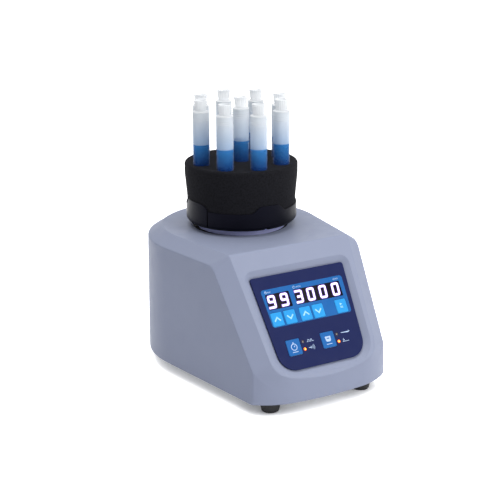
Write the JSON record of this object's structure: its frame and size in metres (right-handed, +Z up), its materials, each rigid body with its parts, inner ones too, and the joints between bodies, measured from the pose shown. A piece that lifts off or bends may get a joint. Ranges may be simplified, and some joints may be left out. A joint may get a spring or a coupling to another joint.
{
  "type": "vortex mixer",
  "caption": "Bench vortex mixer with a sloped membrane control panel and an orbiting foam head that holds capped sample tubes.",
  "frame": {"origin": "on the bench, under the middle of the footprint", "axes": "+Z up, the control panel faces -Y, +X to the right as seen from the front"},
  "size_m": [0.18, 0.2513, 0.2598],
  "materials": {
    "housing_paint": "satin grey paint with a slight violet cast on cast aluminium",
    "zinc_plate": "zinc plated steel sheet",
    "black_rubber": "matte",
    "steel_screw": "plated",
    "overlay_print": "printed polyester, fine satin",
    "circuit_film": "polyester film",
    "display_lens": "smoked clear",
    "display_body": "black moulding",
    "indicator": "clear lens",
    "circuit_board": "solder resist",
    "black_plastic": "moulded",
    "brass_contact": "plated",
    "machined_aluminium": "machined",
    "motor_paint": "black",
    "bearing_steel": "ground",
    "platform_paint": "satin paint",
    "retainer_plastic": "moulded, satin",
    "black_foam": "closed-cell foam, matte",
    "cyan_key": "printed polyester, embossed",
    "blue_key": "printed polyester, embossed",
    "tube_plastic": "clear moulded",
    "cap_plastic": "natural polyethylene"
  },
  "bodies": {
    "housing": {"upper_housing": "housing_paint", "base_plate": "zinc_plate", "rubber_feet": "black_rubber", "m4_screws": "steel_screw", "m3_screws": "steel_screw", "control_overlay": "overlay_print", "membrane_circuit": "circuit_film", "display_lenses": "display_lens", "time_display": "display_body", "speed_display": "display_body", "indicator_leds": "indicator", "control_board": "circuit_board", "power_board": "circuit_board", "power_inlet": "black_plastic", "inlet_pins": "brass_contact", "motor_posts": "machined_aluminium", "motor_isolators": "black_rubber", "motor_plate": "machined_aluminium", "motor_can": "motor_paint", "motor_bearings": "bearing_steel", "guide_plate": "machined_aluminium", "touch_switch": "black_plastic", "splash_boot": "black_rubber"},
    "rotor": {"motor_rotor": "bearing_steel", "eccentric_hub": "bearing_steel"},
    "bearing": {"head_bearing": "bearing_steel", "touch_spring": "bearing_steel"},
    "head": {"head_hub": "machined_aluminium", "hub_clip": "bearing_steel", "guide_pins": "bearing_steel", "head_platform": "platform_paint", "head_screws": "steel_screw", "tube_retainer": "retainer_plastic", "foam_insert": "black_foam"},
    "rocker": {"power_rocker": "black_plastic"},
    "key_time_up": {"key_time_up": "cyan_key"},
    "key_time_down": {"key_time_down": "cyan_key"},
    "key_speed_up": {"key_speed_up": "cyan_key"},
    "key_speed_down": {"key_speed_down": "cyan_key"},
    "key_start_stop": {"key_start_stop": "cyan_key"},
    "key_timer": {"key_timer": "blue_key"},
    "key_mode": {"key_mode": "blue_key"},
    "tube_1": {"tube_1": "tube_plastic"},
    "cap_1": {"cap_1": "cap_plastic"},
    "tube_2": {"tube_2": "tube_plastic"},
    "cap_2": {"cap_2": "cap_plastic"},
    "tube_3": {"tube_3": "tube_plastic"},
    "cap_3": {"cap_3": "cap_plastic"},
    "tube_4": {"tube_4": "tube_plastic"},
    "cap_4": {"cap_4": "cap_plastic"},
    "tube_5": {"tube_5": "tube_plastic"},
    "cap_5": {"cap_5": "cap_plastic"},
    "tube_6": {"tube_6": "tube_plastic"},
    "cap_6": {"cap_6": "cap_plastic"},
    "tube_7": {"tube_7": "tube_plastic"},
    "cap_7": {"cap_7": "cap_plastic"},
    "tube_8": {"tube_8": "tube_plastic"},
    "cap_8": {"cap_8": "cap_plastic"},
    "tube_9": {"tube_9": "tube_plastic"},
    "cap_9": {"cap_9": "cap_plastic"}
  },
  "joints": [
    {"name": "motor_spin", "type": "hinge", "parent": "housing", "child": "rotor", "pos_m": [0, 0.03525, 0.08], "axis": [0, 0, 1], "continuous": true},
    {"name": "head_orbit", "type": "hinge", "parent": "rotor", "child": "bearing", "pos_m": [0, 0.0328, 0.119], "axis": [0, 0, 1], "continuous": true},
    {"name": "head_press", "type": "slide", "parent": "bearing", "child": "head", "axis": [0, 0, 1], "range_m": [-0.0015, 0], "stiffness_N_per_m": 2500, "springref_m": 0.005, "deforming": ["touch_spring"]},
    {"name": "power_switch", "type": "hinge", "parent": "housing", "child": "rocker", "pos_m": [0, 0.12075, 0.0695], "axis": [1, 0, 0], "range_deg": [0, 20]},
    {"name": "key_time_up_press", "type": "slide", "parent": "housing", "child": "key_time_up", "axis": [0, 0.8293, -0.5589], "range_m": [0, 0.0004], "stiffness_N_per_m": 250},
    {"name": "key_time_down_press", "type": "slide", "parent": "housing", "child": "key_time_down", "axis": [0, 0.8293, -0.5589], "range_m": [0, 0.0004], "stiffness_N_per_m": 250},
    {"name": "key_speed_up_press", "type": "slide", "parent": "housing", "child": "key_speed_up", "axis": [0, 0.8293, -0.5589], "range_m": [0, 0.0004], "stiffness_N_per_m": 250},
    {"name": "key_speed_down_press", "type": "slide", "parent": "housing", "child": "key_speed_down", "axis": [0, 0.8293, -0.5589], "range_m": [0, 0.0004], "stiffness_N_per_m": 250},
    {"name": "key_start_stop_press", "type": "slide", "parent": "housing", "child": "key_start_stop", "axis": [0, 0.8293, -0.5589], "range_m": [0, 0.0004], "stiffness_N_per_m": 250},
    {"name": "key_timer_press", "type": "slide", "parent": "housing", "child": "key_timer", "axis": [0, 0.8293, -0.5589], "range_m": [0, 0.0004], "stiffness_N_per_m": 250},
    {"name": "key_mode_press", "type": "slide", "parent": "housing", "child": "key_mode", "axis": [0, 0.8293, -0.5589], "range_m": [0, 0.0004], "stiffness_N_per_m": 250},
    {"name": "tube_1_lift", "type": "slide", "parent": "head", "child": "tube_1", "axis": [0, 0, 1], "range_m": [0, 0.06]},
    {"name": "cap_1_lift", "type": "slide", "parent": "tube_1", "child": "cap_1", "axis": [0, 0, 1], "range_m": [0, 0.02]},
    {"name": "tube_2_lift", "type": "slide", "parent": "head", "child": "tube_2", "axis": [0, 0, 1], "range_m": [0, 0.06]},
    {"name": "cap_2_lift", "type": "slide", "parent": "tube_2", "child": "cap_2", "axis": [0, 0, 1], "range_m": [0, 0.02]},
    {"name": "tube_3_lift", "type": "slide", "parent": "head", "child": "tube_3", "axis": [0, 0, 1], "range_m": [0, 0.06]},
    {"name": "cap_3_lift", "type": "slide", "parent": "tube_3", "child": "cap_3", "axis": [0, 0, 1], "range_m": [0, 0.02]},
    {"name": "tube_4_lift", "type": "slide", "parent": "head", "child": "tube_4", "axis": [0, 0, 1], "range_m": [0, 0.06]},
    {"name": "cap_4_lift", "type": "slide", "parent": "tube_4", "child": "cap_4", "axis": [0, 0, 1], "range_m": [0, 0.02]},
    {"name": "tube_5_lift", "type": "slide", "parent": "head", "child": "tube_5", "axis": [0, 0, 1], "range_m": [0, 0.06]},
    {"name": "cap_5_lift", "type": "slide", "parent": "tube_5", "child": "cap_5", "axis": [0, 0, 1], "range_m": [0, 0.02]},
    {"name": "tube_6_lift", "type": "slide", "parent": "head", "child": "tube_6", "axis": [0, 0, 1], "range_m": [0, 0.06]},
    {"name": "cap_6_lift", "type": "slide", "parent": "tube_6", "child": "cap_6", "axis": [0, 0, 1], "range_m": [0, 0.02]},
    {"name": "tube_7_lift", "type": "slide", "parent": "head", "child": "tube_7", "axis": [0, 0, 1], "range_m": [0, 0.06]},
    {"name": "cap_7_lift", "type": "slide", "parent": "tube_7", "child": "cap_7", "axis": [0, 0, 1], "range_m": [0, 0.02]},
    {"name": "tube_8_lift", "type": "slide", "parent": "head", "child": "tube_8", "axis": [0, 0, 1], "range_m": [0, 0.06]},
    {"name": "cap_8_lift", "type": "slide", "parent": "tube_8", "child": "cap_8", "axis": [0, 0, 1], "range_m": [0, 0.02]},
    {"name": "tube_9_lift", "type": "slide", "parent": "head", "child": "tube_9", "axis": [0, 0, 1], "range_m": [0, 0.06]},
    {"name": "cap_9_lift", "type": "slide", "parent": "tube_9", "child": "cap_9", "axis": [0, 0, 1], "range_m": [0, 0.02]}
  ],
  "couplings": [
    {"joint": "head_orbit", "follows": "motor_spin", "ratio": -1}
  ]
}
